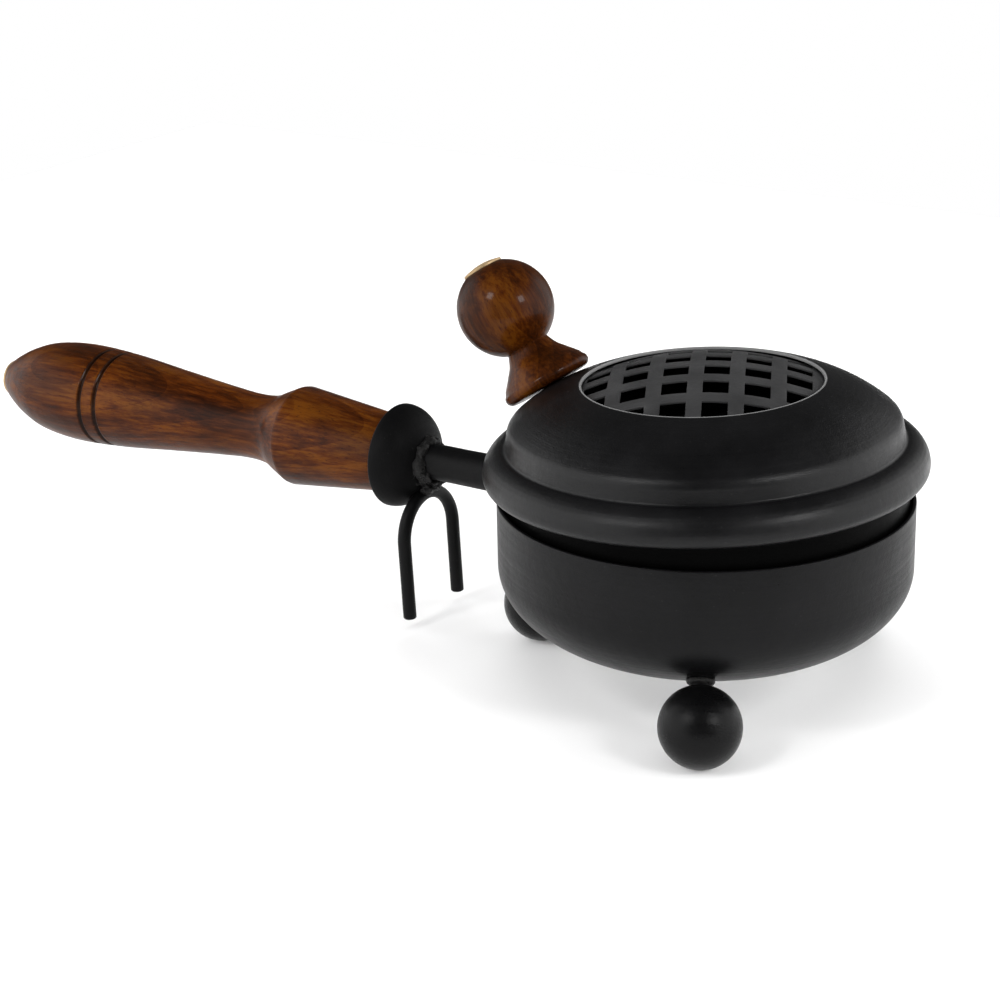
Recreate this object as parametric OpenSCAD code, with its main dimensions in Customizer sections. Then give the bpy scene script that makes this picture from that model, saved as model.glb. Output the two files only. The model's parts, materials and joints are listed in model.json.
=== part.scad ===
// Hand-held ember pan: a spun steel bowl on three ball feet, with a hinged, domed lid,
// a pierced grille in the lid and a turned wooden handle. Millimetres, +Z up.
// The origin is on the bowl's axis, at the height of the table. The handle runs along -X.

/* [Bowl] */
// Outside diameter of the bowl
bowl_d = 128.4; // [120:0.2:140]
// Height of the bowl's rim above the table
rim_z = 62.3; // [60:0.1:66]
// Height of the bowl's flat underside above the table
bowl_bottom_z = 15.7; // [14:0.1:17]
// Height of the curved lower part of the bowl
bowl_corner_h = 25.3; // [22:0.1:27]
// Width of the curved lower part, measured in from the wall
bowl_corner_w = 42; // [38:0.5:46]
// Thickness of the bowl's sheet
bowl_sheet = 1.2; // [0.8:0.1:1.6]

/* [Feet] */
// Diameter of a ball foot
ball_d = 25; // [22:0.5:27]
// Distance of a ball's centre from the bowl's axis
ball_reach = 61.4; // [60:0.1:63]
// Lean of a foot's stud from upright, in degrees
stud_lean = 34.8; // [32:0.1:37]
// Diameter of a foot's stud
stud_d = 6.4; // [5:0.1:7]
// Direction of the foot under the handle, in degrees from +X
foot_rear_at = 178.4; // [175:0.1:185]
// Direction of the front foot on the left
foot_left_at = 67; // [55:0.1:70]
// Direction of the front foot on the right
foot_right_at = -62.3; // [-65:0.1:-55]

/* [Lid] */
// Diameter of the round opening in the lid
opening_d = 73.7; // [70:0.1:76]
// Thickness of the lid's sheet
lid_sheet = 1.0; // [0.8:0.1:1.2]
// Outside radius of the skirt that drops into the bowl
skirt_r = 62.0; // [61:0.1:62.2]
// Depth of the skirt below the bowl's rim, with the lid level
skirt_depth = 9; // [6:0.5:11]
// Angle at which the lid stands on its stop, in degrees above level
lid_stand = 2.1; // [0:0.1:3]

/* [Grille] */
// Radius of the grille's dome
grille_dome_r = 97; // [90:1:110]
// Height of the top of the grille above the bowl's rim, with the lid level
grille_top = 39.4; // [39:0.1:39.8]
// Diameter of the grille's disc
grille_d = 87; // [86:0.5:90]
// Thickness of the grille's sheet
grille_sheet = 0.8; // [0.6:0.1:1]
// Side of a square hole
hole_w = 7.7; // [6:0.1:8.5]
// Distance from one hole to the next
hole_pitch = 12.3; // [12:0.1:12.8]
// Turn of the rows of holes from the handle's direction, in degrees
grid_turn = 26.5; // [0:0.5:45]
// Sideways offset of the rows, because the disc is cut from pierced sheet
grid_offset = 1.4; // [0:0.1:1.6]

/* [Knob] */
// Distance of the knob's foot from the lid's axis
knob_reach = 54.8; // [53:0.1:56]
// Lean of the knob from upright, out over the handle, in degrees
knob_lean = 33.1; // [32:0.1:36]
// Diameter of the knob's ball
knob_ball_d = 31; // [28:0.1:32]
// Diameter of the knob's foot
knob_foot_d = 29.6; // [27:0.1:31]
// Height of the ball's centre above the foot
knob_ball_at = 28.3; // [27:0.1:30]

/* [Handle] */
// Height of the handle's axis above the table
handle_z = 55; // [54:0.1:55.4]
// Diameter of the handle's rod
rod_d = 12; // [11:0.1:12.4]
// Diameter of the rod's tang inside the grip
tang_d = 5; // [4:0.1:5.2]
// Outside diameter of the bell-shaped ferrule
ferrule_d = 34.6; // [32:0.1:36]
// Distance of the ferrule's mouth from the bowl's axis
ferrule_at = 116.8; // [116:0.1:118]
// Distance of the grip's collar from the bowl's axis
collar_at = 155.3; // [152:0.1:158]
// Diameter of the grip's collar
collar_d = 34; // [32:0.1:36]
// Distance of the grip's waist from the bowl's axis
waist_at = 176; // [174:0.5:178]
// Diameter of the grip's waist
waist_d = 22.6; // [21:0.1:25]
// Distance of the grip's thickest place from the bowl's axis
egg_at = 253; // [250:0.5:255]
// Diameter of the grip at its thickest place
egg_d = 35.2; // [33:0.1:37]
// Distance of the grip's end from the bowl's axis
grip_end = 289; // [287:0.5:291]

/* [Prop fork] */
// Diameter of the fork's wire
wire_d = 4.4; // [3:0.1:4.4]
// Distance between the fork's legs, centre to centre
fork_w = 28; // [24:0.5:32]
// Length of the fork's legs below the bend
fork_leg = 25.8; // [24:0.1:28]
// Lean of the fork's top towards the grip, in degrees
fork_lean = 2.5; // [0:0.5:4]

/* [Hinge] */
// Distance of the hinge pin from the bowl's axis
pin_reach = 70.9; // [70.5:0.1:71.5]
// Height of the hinge pin above the table
pin_z = 65.2; // [65:0.1:65.6]
// Diameter of the hinge pin
pin_d = 2.6; // [2:0.1:3]

/* [Hidden] */
$fn = 96;
FOOT = ["rear", "front_left", "front_right"];
FOOT_AT = [foot_rear_at, foot_left_at, foot_right_at];

black = "#1b1b1c";
walnut = "#5e2f15";
cap_brass = "#cdb07a";
zinc = "#9c9c98";

bowl_r = bowl_d / 2;
ball_r = ball_d / 2;
rod_r = rod_d / 2;
fit_gap = 0.05;
weld_bite = 0.45;

// The lid's outline, in radius and height above the bowl's rim. Each arc is a centre, a radius and
// the angles at which it starts and ends.
dome_c = [24.1, -17.3];
dome_r = 52.7;
dome_end = 49.1;
shoulder_c = [55.33, 18.74];
shoulder_r = 5;
groove_c = [62.1, 15.98];
groove_r = 1.2;
bead_c = [60.3, 7.28];
bead_r = 7.9;
bead_low_c = [64.4, 7.28];
bead_low_r = 3.8;
skirt_fillet = 0.8;

// Where the knob stands on the dome, and how deep its hardware goes
knob_h = dome_c[1] + sqrt(pow(dome_r, 2) - pow(knob_reach - dome_c[0], 2));
knob_ball_r = knob_ball_d / 2;
cap_r = 6.6;
cap_seat = knob_ball_at + sqrt(pow(knob_ball_r, 2) - pow(cap_r, 2));
cap_bore_r = 5.3;
cap_bore_depth = 6.5;
bolt_r = 2.4;
nut_flat = 8;
nut_h = 4;
washer_r = 4.9;
washer_h = 1;
washer_seat = -1.55;

// The bell of the ferrule is half an ellipsoid with its pole on the rod. Its socket is shallow
// enough to leave a wall where the bell narrows.
bell_len = 12.8;
bell_at = ferrule_at - 1.3;
socket_r = 13;
socket_floor = ferrule_at - 7.8;
grip_start = socket_floor + 0.4;

fork_at = 105.4;
fork_apex_z = 43.4;

// Width of the grille's plain rim
rim_w = 3.2;

knuckle_r = 2.6;
lug_r = 2.8;
knuckle_w = 4.4;
hinge_w = 9.6;
side_gap = 0.25;

function arc(c, r, from, to, n) =
    [for (i = [0:n]) c + r * [cos(from + (to - from) * i / n), sin(from + (to - from) * i / n)]];

function oval(c, a, b, from, to, n) =
    [for (i = [0:n]) c + [a * cos(from + (to - from) * i / n), b * sin(from + (to - from) * i / n)]];

function between(a, b, c, d, t) =
    0.5 * (2 * b + (c - a) * t + (2 * a - 5 * b + 4 * c - d) * t * t + (3 * b - a - 3 * c + d) * t * t * t);

// A smooth line through the points p
function smooth(p, n) = concat(
    [for (i = [0:len(p) - 2], j = [0:n - 1])
        between(p[max(i - 1, 0)], p[i], p[i + 1], p[min(i + 2, len(p) - 1)], j / n)],
    [p[len(p) - 1]]);

function reversed(p) = [for (i = [len(p) - 1:-1:0]) p[i]];

// The lid's section line, d inside its outer face
function lid_line(d) = concat(
    arc(dome_c, dome_r - d, acos((opening_d / 2 - dome_c[0]) / dome_r), dome_end, 10),
    arc(shoulder_c, shoulder_r - d, dome_end - 6, 0, 6),
    arc(groove_c, groove_r + d, 180, 255, 5),
    arc(bead_c, bead_r - d, 72, 0, 10),
    arc(bead_low_c, bead_low_r - d, -12, -90, 6),
    arc([skirt_r + skirt_fillet, bead_low_c[1] - bead_low_r - skirt_fillet], skirt_fillet + d, 90, 180, 4),
    [[skirt_r - d, -skirt_depth]]);

module along_handle() {
    translate([0, 0, handle_z]) rotate([0, -90, 0]) children();
}

// Places a foot's piece with its local +Z from the ball's centre up along the stud
module at_foot(i) {
    rotate([0, 0, FOOT_AT[i]])
        translate([ball_reach, 0, ball_r])
            rotate([0, -stud_lean, 0]) children();
}

// Places a piece of the lid, drawn level with the rim at z = 0, at its stop on the hinge
module on_lid() {
    translate([-pin_reach, 0, pin_z]) rotate([0, -lid_stand, 0])
        translate([pin_reach, 0, rim_z - pin_z]) children();
}

// Places a piece of the knob with its local +Z along the knob's axis
module on_knob() {
    on_lid() translate([-knob_reach, 0, knob_h]) rotate([0, -knob_lean, 0]) children();
}

module bowl() {
    corner = [bowl_r - bowl_corner_w, bowl_bottom_z + bowl_corner_h];
    color(black) rotate_extrude() polygon(concat(
        [[0, bowl_bottom_z]],
        oval(corner, bowl_corner_w, bowl_corner_h, -90, 0, 18),
        [[bowl_r, rim_z], [bowl_r - bowl_sheet, rim_z]],
        oval(corner, bowl_corner_w - bowl_sheet, bowl_corner_h - bowl_sheet, 0, -90, 18),
        [[0, bowl_bottom_z + bowl_sheet]]));
}

stud_in = 6;
stud_out = 14.06 + weld_bite;

module foot_ball(i) {
    color(black) at_foot(i) difference() {
        sphere(r = ball_r);
        translate([0, 0, stud_in]) cylinder(d = stud_d + 2 * fit_gap, h = ball_d);
    }
}

module foot_stud(i) {
    color(black) at_foot(i) translate([0, 0, stud_in + fit_gap])
        cylinder(d = stud_d, h = stud_out - stud_in - fit_gap);
}

module foot_weld(i) {
    color(black) at_foot(i) translate([0, 0, 13.5]) rotate_extrude()
        translate([stud_d / 2, 0]) circle(r = 1.0, $fn = 24);
}

module handle_rod() {
    root = bowl_r - 0.6;
    color(black) along_handle() {
        translate([0, 0, root]) cylinder(r = rod_r, h = socket_floor - root);
        translate([0, 0, socket_floor - 1]) cylinder(d = tang_d, h = grip_end - 4 - socket_floor);
    }
}

module rod_root_weld() {
    color(black) along_handle() translate([0, 0, bowl_r + 0.6]) rotate_extrude()
        translate([rod_r - 0.1, 0]) circle(r = 1.2, $fn = 24);
}

module ferrule() {
    bore_r = rod_r + fit_gap;
    pole = acos(bore_r / (ferrule_d / 2));
    lip = 1.3;
    color(black) along_handle() rotate_extrude() polygon(concat(
        oval([0, bell_at], ferrule_d / 2, bell_len, -pole, 0, 16),
        arc([ferrule_d / 2 - lip, bell_at], lip, 0, 90, 5),
        [[socket_r, ferrule_at], [socket_r, socket_floor], [bore_r, socket_floor]]));
}

module ferrule_weld() {
    color(black) along_handle() translate([0, 0, bell_at - bell_len + 0.8]) rotate_extrude()
        translate([rod_r + 0.2, 0]) circle(r = 1.6, $fn = 24);
}

// One bent wire: a half ring and two straight legs
module prop_fork() {
    bend = fork_w / 2;
    color(black) translate([-fork_at, 0, fork_apex_z]) rotate([0, -fork_lean, 0])
        translate([0, 0, -bend]) {
            rotate([90, 0, 90]) rotate_extrude(angle = 180)
                translate([bend, 0]) circle(d = wire_d, $fn = 32);
            for (side = [-1, 1])
                translate([0, side * bend, -fork_leg]) cylinder(d = wire_d, h = fork_leg, $fn = 32);
        }
}

module fork_weld() {
    color(black) for (y = [-2.4, 0, 2.4])
        translate([2.2 - fork_at, y, fork_apex_z + 2.5]) sphere(r = 2.8 - abs(y) * 0.15, $fn = 24);
}

module grip() {
    collar_r = collar_d / 2;
    waist_r = waist_d / 2;
    egg_r = egg_d / 2;
    back = smooth([
        [collar_r - 0.2, collar_at + 1.3], [waist_r + 3.4, collar_at + 6], [waist_r + 0.8, collar_at + 12],
        [waist_r, waist_at], [waist_r + 0.9, waist_at + 13], [waist_r + 3.1, waist_at + 35],
        [waist_r + 5.4, egg_at - 20], [egg_r, egg_at], [egg_r - 1.4, egg_at + 15],
        [egg_r - 4.4, egg_at + 24.5], [egg_r - 8.2, egg_at + 32], [cap_r, grip_end]], 4);
    color(walnut) along_handle() difference() {
        rotate_extrude() polygon(concat(
            [[0, grip_start], [socket_r - 0.3, grip_start], [socket_r - 0.25, ferrule_at + 0.2],
             [collar_r, collar_at]],
            back, [[0, grip_end]]));
        for (s = [egg_at - 16.5, egg_at - 10])
            translate([0, 0, s]) rotate_extrude() translate([egg_r - 0.05, 0]) circle(r = 0.9, $fn = 24);
        translate([0, 0, grip_start - 1]) cylinder(d = tang_d + 2 * fit_gap, h = grip_end);
        translate([0, 0, grip_end - 11.5]) cylinder(r = cap_bore_r, h = 20);
    }
}

module nut(r_bore) {
    difference() {
        cylinder(r = nut_flat / 2 / cos(30), h = nut_h, $fn = 6);
        translate([0, 0, -1]) cylinder(r = r_bore, h = nut_h + 2);
    }
}

module washer(r_out, r_bore) {
    difference() {
        cylinder(r = r_out, h = washer_h);
        translate([0, 0, -1]) cylinder(r = r_bore, h = washer_h + 2);
    }
}

// A low domed button on a short plug
module end_cap() {
    rise = 1.1;
    edge = 0.8;
    dome = (pow(cap_r - 0.2, 2) + pow(rise, 2)) / (2 * rise);
    rotate_extrude() polygon(concat(
        [[0, -2.4], [cap_bore_r - fit_gap, -2.4], [cap_bore_r - fit_gap, 0], [cap_r, 0], [cap_r, edge]],
        [for (i = [0:8]) let (r = (cap_r - 0.2) * (1 - i / 8))
            [r, edge + rise - dome + sqrt(dome * dome - r * r)]]));
}

module grip_washer() {
    color(zinc) along_handle() translate([0, 0, grip_end - 11.5]) washer(washer_r, tang_d / 2 + fit_gap);
}

module grip_nut() {
    color(zinc) along_handle() translate([0, 0, grip_end - 11.5 + washer_h]) nut(tang_d / 2 + fit_gap);
}

module grip_end_cap() {
    color(cap_brass) along_handle() translate([0, 0, grip_end]) end_cap();
}

// Two lugs on a saddle that sits on top of the rod
module hinge_bracket() {
    lug_w = hinge_w / 2 - knuckle_w / 2 - side_gap;
    saddle_top = pin_z - knuckle_r - 0.4;
    color(black) difference() {
        union() {
            translate([-pin_reach - lug_r, -hinge_w / 2, handle_z])
                cube([2 * lug_r, hinge_w, saddle_top - handle_z]);
            for (side = [0, 1]) mirror([0, side, 0]) translate([-pin_reach, hinge_w / 2 - lug_w, 0]) {
                translate([-lug_r, 0, handle_z]) cube([2 * lug_r, lug_w, pin_z - handle_z]);
                translate([0, lug_w, pin_z]) rotate([90, 0, 0]) cylinder(r = lug_r, h = lug_w);
            }
        }
        along_handle() cylinder(r = rod_r, h = 2 * pin_reach);
        translate([-pin_reach, hinge_w, pin_z]) rotate([90, 0, 0]) cylinder(d = pin_d, h = 2 * hinge_w);
    }
}

module hinge_pin() {
    color(black) translate([-pin_reach, 0, pin_z]) rotate([90, 0, 0]) {
        cylinder(d = pin_d, h = hinge_w, center = true);
        for (side = [0, 1]) mirror([0, 0, side]) translate([0, 0, hinge_w / 2])
            cylinder(r1 = pin_d / 2 + 0.7, r2 = pin_d / 2 + 0.2, h = 0.7);
    }
}

// The knuckle between the lugs and the strap that holds it on the lid's bead
module hinge_leaf() {
    edge_x = -(bead_low_c[0] + bead_low_r);
    strap = 1.8;
    color(black) on_lid() difference() {
        union() {
            translate([-pin_reach, knuckle_w / 2, pin_z - rim_z]) rotate([90, 0, 0])
                cylinder(r = knuckle_r, h = knuckle_w);
            translate([edge_x + 0.15 - strap, -knuckle_w / 2, pin_z - rim_z])
                cube([strap, knuckle_w, 8.2]);
        }
        translate([-pin_reach, hinge_w, pin_z - rim_z]) rotate([90, 0, 0])
            cylinder(d = pin_d + 2 * fit_gap, h = 2 * hinge_w);
    }
}

module lid_shell() {
    color(black) difference() {
        on_lid() rotate_extrude() polygon(concat(lid_line(0), reversed(lid_line(lid_sheet))));
        on_knob() translate([0, 0, -10]) cylinder(r = bolt_r + 0.3, h = 20);
    }
}

// A cap of a thin sphere, pierced by rows of square holes inside a plain rim
module grille() {
    pierced_r = grille_d / 2 - rim_w;
    reach = ceil(pierced_r / hole_pitch);
    color(black) on_lid() difference() {
        intersection() {
            translate([0, 0, grille_top - grille_dome_r]) difference() {
                sphere(r = grille_dome_r);
                sphere(r = grille_dome_r - grille_sheet);
            }
            cylinder(d = grille_d, h = 2 * grille_top);
        }
        intersection() {
            cylinder(r = pierced_r, h = 2 * grille_top);
            rotate([0, 0, grid_turn]) for (i = [-reach:reach], j = [-reach:reach]) {
                x = (i + 0.5) * hole_pitch - grid_offset;
                y = (j + 0.5) * hole_pitch;
                if (norm([x, y]) < pierced_r)
                    translate([x - hole_w / 2, y - hole_w / 2, 0]) cube([hole_w, hole_w, 2 * grille_top]);
            }
        }
    }
}

// Four spot-weld buttons between the grille's edge and the lid
module grille_welds() {
    color(black) on_lid() for (a = [45:90:315]) rotate([0, 0, a])
        translate([grille_d / 2 - rim_w / 2, 0, 29.8]) cylinder(r = 1.5, h = 1.9, $fn = 32);
}

module knob() {
    foot_r = knob_foot_d / 2;
    rim = 2.1;
    neck_r = 7;
    neck_angle = acos(neck_r / knob_ball_r);
    cap_angle = asin((cap_seat - knob_ball_at) / knob_ball_r);
    color(walnut) on_knob() difference() {
        rotate_extrude() polygon(concat(
            [[0, 0]],
            arc([foot_r - rim, rim + 0.2], rim, -85, 50, 7),
            smooth([[foot_r - 1.4, 5.2], [foot_r - 3.9, 8.2], [neck_r + 1.5, 11.2],
                    [neck_r, knob_ball_at - knob_ball_r * sin(neck_angle)]], 4),
            arc([0, knob_ball_at], knob_ball_r, -neck_angle, cap_angle, 28),
            [[0, cap_seat]]));
        translate([0, 0, -1]) cylinder(r = bolt_r + 0.1, h = cap_seat + 2);
        translate([0, 0, cap_seat - cap_bore_depth]) cylinder(r = cap_bore_r, h = 20);
    }
}

module knob_bolt() {
    head_at = cap_seat - cap_bore_depth;
    tip = washer_seat - washer_h - nut_h - 1.5;
    color(zinc) on_knob() difference() {
        union() {
            translate([0, 0, tip]) cylinder(r = bolt_r, h = head_at - tip + 1);
            translate([0, 0, head_at]) cylinder(r = 4.4, h = 3);
        }
        translate([-5, -0.6, head_at + 2]) cube([10, 1.2, 5]);
    }
}

module knob_washer() {
    color(zinc) on_knob() translate([0, 0, washer_seat - washer_h]) washer(washer_r, bolt_r + fit_gap);
}

module knob_nut() {
    color(zinc) on_knob() translate([0, 0, washer_seat - washer_h - nut_h]) nut(bolt_r + fit_gap);
}

module knob_end_cap() {
    color(cap_brass) on_knob() translate([0, 0, cap_seat]) end_cap();
}

bowl();
for (i = [0:2]) {
    foot_ball(i);
    foot_stud(i);
    foot_weld(i);
}
handle_rod();
rod_root_weld();
ferrule();
ferrule_weld();
prop_fork();
fork_weld();
grip();
grip_washer();
grip_nut();
grip_end_cap();
hinge_bracket();
hinge_pin();
hinge_leaf();
lid_shell();
grille();
grille_welds();
knob();
knob_bolt();
knob_washer();
knob_nut();
knob_end_cap();
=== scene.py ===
"""The looks of a hand-held ember pan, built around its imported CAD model.

Outlines are in millimetres as (radius, height) or (across, along), and are turned, swept or
cut into meshes in metres. Every piece rides on the CAD body that it belongs to.
"""
import json
import math

import bmesh
import bpy
import numpy as np
from mathutils import Matrix, Vector, noise


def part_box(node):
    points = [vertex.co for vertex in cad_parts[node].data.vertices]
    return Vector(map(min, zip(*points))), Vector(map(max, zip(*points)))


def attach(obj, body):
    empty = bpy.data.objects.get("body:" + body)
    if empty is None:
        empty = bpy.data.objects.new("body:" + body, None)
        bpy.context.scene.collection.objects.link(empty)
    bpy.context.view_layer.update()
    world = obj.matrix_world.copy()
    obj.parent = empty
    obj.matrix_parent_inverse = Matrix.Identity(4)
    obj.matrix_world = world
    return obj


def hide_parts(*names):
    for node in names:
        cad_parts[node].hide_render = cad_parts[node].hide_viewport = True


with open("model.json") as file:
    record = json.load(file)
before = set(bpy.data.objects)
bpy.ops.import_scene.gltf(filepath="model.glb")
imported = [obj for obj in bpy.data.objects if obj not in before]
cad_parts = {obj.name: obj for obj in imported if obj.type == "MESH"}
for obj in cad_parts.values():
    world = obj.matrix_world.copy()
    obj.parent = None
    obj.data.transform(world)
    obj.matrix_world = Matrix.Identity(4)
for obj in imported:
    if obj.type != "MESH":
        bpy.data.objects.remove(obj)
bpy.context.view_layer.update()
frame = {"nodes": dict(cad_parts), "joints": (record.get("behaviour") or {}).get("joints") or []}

MM = 0.001
PAN = "pan"
LID = "lid"
FEET = ("rear", "front_left", "front_right")


# --- Places, taken from the frame ---------------------------------------------------------------

def low(node):
    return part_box(node)[0] / MM


def high(node):
    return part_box(node)[1] / MM


def middle(node):
    return (low(node) + high(node)) / 2


def turned_y(degrees):
    return Matrix.Rotation(math.radians(degrees), 4, "Y")


def turned_z(degrees):
    return Matrix.Rotation(math.radians(degrees), 4, "Z")


def moved(x, y, z):
    return Matrix.Translation(Vector((x, y, z)) * MM)


BOWL_R = high("bowl").x
RIM_Z = high("bowl").z
BOWL_LOW = low("bowl").z
BOWL_SHEET = 1.2
RIM_BAND = 9
CORNER_W = 42
CORNER_H = 25.3

HANDLE_Z = middle("handle_rod").z
ROD_R = (high("handle_rod").z - low("handle_rod").z) / 2
ROD_SUNK = 0.6
ROD_START = BOWL_R - ROD_SUNK

hinge = next(j for j in frame["joints"] if j["name"] == "lid_hinge")
PIN = Vector(hinge["pos_m"]) / MM
LID_STAND = 2.1
KNOB_REACH = 54.8
KNOB_LEAN = 33.1

# Distances of the grip's two burnt grooves along the handle
GROOVES_AT = (236.5, 243.0)

LEVEL = moved(0, 0, RIM_Z)
LID_AT = moved(*PIN) @ turned_y(-LID_STAND) @ moved(*-PIN) @ LEVEL
HANDLE_AT = moved(0, 0, HANDLE_Z) @ turned_y(-90)


# --- Outlines -----------------------------------------------------------------------------------

def oval(centre, across, up, start, end, count):
    """Points along an ellipse's arc, angles in degrees."""
    turn = [math.radians(start + (end - start) * i / count) for i in range(count + 1)]
    return [(centre[0] + across * math.cos(t), centre[1] + up * math.sin(t)) for t in turn]


def arc(centre, radius, start, end, count):
    """Points along a circle's arc, angles in degrees."""
    return oval(centre, radius, radius, start, end, count)


def smooth(points, count):
    """A Catmull-Rom line through the points."""
    line = []
    for i in range(len(points) - 1):
        a, b = points[max(i - 1, 0)], points[i]
        c, d = points[i + 1], points[min(i + 2, len(points) - 1)]
        for j in range(count):
            t = j / count
            line.append(tuple(
                0.5 * (2 * b[k] + (c[k] - a[k]) * t + (2 * a[k] - 5 * b[k] + 4 * c[k] - d[k]) * t ** 2
                       + (3 * b[k] - a[k] - 3 * c[k] + d[k]) * t ** 3)
                for k in (0, 1)))
    return line + [tuple(points[-1])]


def eased(points, radius=0.35, limit=24, count=4, closed=False):
    """The outline with each corner sharper than limit degrees rounded off."""
    line = []
    size = len(points)
    for i, point in enumerate(points):
        if not closed and i in (0, size - 1):
            line.append(tuple(point))
            continue
        here = Vector(point)
        back = Vector(points[i - 1]) - here
        ahead = Vector(points[(i + 1) % size]) - here
        if back.length < 1e-6 or ahead.length < 1e-6:
            continue
        bend = math.degrees(math.pi - back.angle(ahead))
        if bend < limit:
            line.append(tuple(point))
            continue
        a = here + back.normalized() * min(radius, back.length * 0.45)
        b = here + ahead.normalized() * min(radius, ahead.length * 0.45)
        for j in range(count + 1):
            t = j / count
            line.append(tuple(a * (1 - t) ** 2 + here * 2 * t * (1 - t) + b * t ** 2))
    return line


# --- Meshes -------------------------------------------------------------------------------------

def new_piece(name, points, faces, place, sharp=50):
    """A mesh piece from points in millimetres, smooth except at edges sharper than sharp degrees.
    The points as drawn are kept as the attribute Place, which the materials read."""
    mesh = bpy.data.meshes.new(name)
    mesh.from_pydata([tuple(place @ (Vector(p) * MM)) for p in points], [], faces)
    mesh.validate()
    work = bmesh.new()
    work.from_mesh(mesh)
    bmesh.ops.recalc_face_normals(work, faces=work.faces)
    work.to_mesh(mesh)
    work.free()
    drawn = mesh.attributes.new("Place", "FLOAT_VECTOR", "POINT")
    drawn.data.foreach_set("vector", np.ravel([tuple(p) for p in points]))
    mesh.shade_smooth()
    mesh.set_sharp_from_angle(angle=math.radians(sharp))
    piece = bpy.data.objects.new(name, mesh)
    bpy.context.collection.objects.link(piece)
    return piece


def lathe(name, line, place, steps=192, closed=False, dent=None):
    """Turns an outline of (radius, height) about the local Z axis."""
    points, faces, rings = [], [], []
    for r, h in line:
        if r < 1e-6:
            rings.append([len(points)])
            points.append((0, 0, h))
            continue
        ring = []
        for i in range(steps):
            a = 2 * math.pi * i / steps
            spread = r + (dent(a, r, h) if dent else 0)
            ring.append(len(points))
            points.append((spread * math.cos(a), spread * math.sin(a), h))
        rings.append(ring)
    pairs = list(zip(rings, rings[1:]))
    if closed:
        pairs.append((rings[-1], rings[0]))
    for a, b in pairs:
        for i in range(steps):
            j = (i + 1) % steps
            if len(a) == 1 and len(b) > 1:
                faces.append((a[0], b[i], b[j]))
            elif len(b) == 1 and len(a) > 1:
                faces.append((a[i], b[0], a[j]))
            elif len(a) > 1:
                faces.append((a[i], b[i], b[j], a[j]))
    return new_piece(name, points, faces, place)


def sweep(name, route, radii, place, steps=32):
    """A round bar along a route, one radius for each point, closed at both ends."""
    route = [Vector(p) for p in route]
    points, faces = [], []
    side = Vector((1, 0, 0))
    for i, here in enumerate(route):
        along = (route[min(i + 1, len(route) - 1)] - route[max(i - 1, 0)]).normalized()
        side = (side - along * side.dot(along)).normalized()
        up = along.cross(side)
        for j in range(steps):
            a = 2 * math.pi * j / steps
            points.append(here + (side * math.cos(a) + up * math.sin(a)) * radii[i])
    for i in range(len(route) - 1):
        for j in range(steps):
            k = (j + 1) % steps
            faces.append((i * steps + j, i * steps + k, (i + 1) * steps + k, (i + 1) * steps + j))
    last = (len(route) - 1) * steps
    faces.append(tuple(range(steps))[::-1])
    faces.append(tuple(last + j for j in range(steps)))
    return new_piece(name, points, faces, place)


def lumpy_ring(name, place, reach, bead, height, seed, rough=0.28, lumps=14):
    """A weld bead round the local Z axis: a ring of overlapping ripples, uneven all over."""
    steps, sides = 180, 26
    points, faces = [], []
    for i in range(steps):
        a = 2 * math.pi * i / steps
        across, along = math.cos(a), math.sin(a)
        drift = 1.4 * noise.noise((2 * across, 2 * along, seed))
        ripple = 0.12 * abs(math.sin(lumps * a / 2 + drift))
        swell = 1 + ripple + rough * noise.noise((2.4 * across, 2.4 * along, seed * 1.7))
        for j in range(sides):
            b = 2 * math.pi * j / sides
            fine = rough * 0.5 * noise.noise((5 * across, 5 * along, seed + 1.9 * b))
            size = bead * (swell + fine)
            out = reach + size * math.cos(b)
            points.append((out * across, out * along, height + size * math.sin(b)))
    for i in range(steps):
        k = (i + 1) % steps
        for j in range(sides):
            m = (j + 1) % sides
            faces.append((i * sides + j, k * sides + j, k * sides + m, i * sides + m))
    return new_piece(name, points, faces, place, sharp=80)


def blob(name, place, size, seed, rough=0.3):
    """A drop of weld metal: a ball stretched to size and roughened."""
    work = bmesh.new()
    bmesh.ops.create_icosphere(work, subdivisions=4, radius=1)
    points = []
    for v in work.verts:
        n = 1 + rough * noise.noise(v.co * 1.7 + Vector((seed, 2 * seed, 0)))
        n += 0.4 * rough * noise.noise(v.co * 4.1 + Vector((0, seed, seed)))
        points.append(tuple(v.co[k] * size[k] * n for k in range(3)))
    faces = [tuple(v.index for v in f.verts) for f in work.faces]
    work.free()
    return new_piece(name, points, faces, place, sharp=80)


def join(name, pieces):
    """One piece made of several, keeping their places."""
    points, faces = [], []
    for piece in pieces:
        start = len(points)
        points += [v.co / MM for v in piece.data.vertices]
        faces += [tuple(start + i for i in p.vertices) for p in piece.data.polygons]
    for piece in pieces:
        bpy.data.objects.remove(piece)
    return new_piece(name, points, faces, Matrix.Identity(4), sharp=80)


def finished(piece, body, material, slot, *nodes):
    """Gives a piece its material and its body, and hides the CAD nodes that it stands for."""
    piece.data.materials.append(material)
    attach(piece, body)
    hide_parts(*nodes)
    return piece


def soften(piece, width):
    """Eases a piece's edges with a bevel, its width in millimetres."""
    soft = piece.modifiers.new("Soft", "BEVEL")
    soft.width = width * MM
    soft.segments = 2
    soft.limit_method = "ANGLE"
    soft.angle_limit = math.radians(40)


# --- Materials ----------------------------------------------------------------------------------

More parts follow.
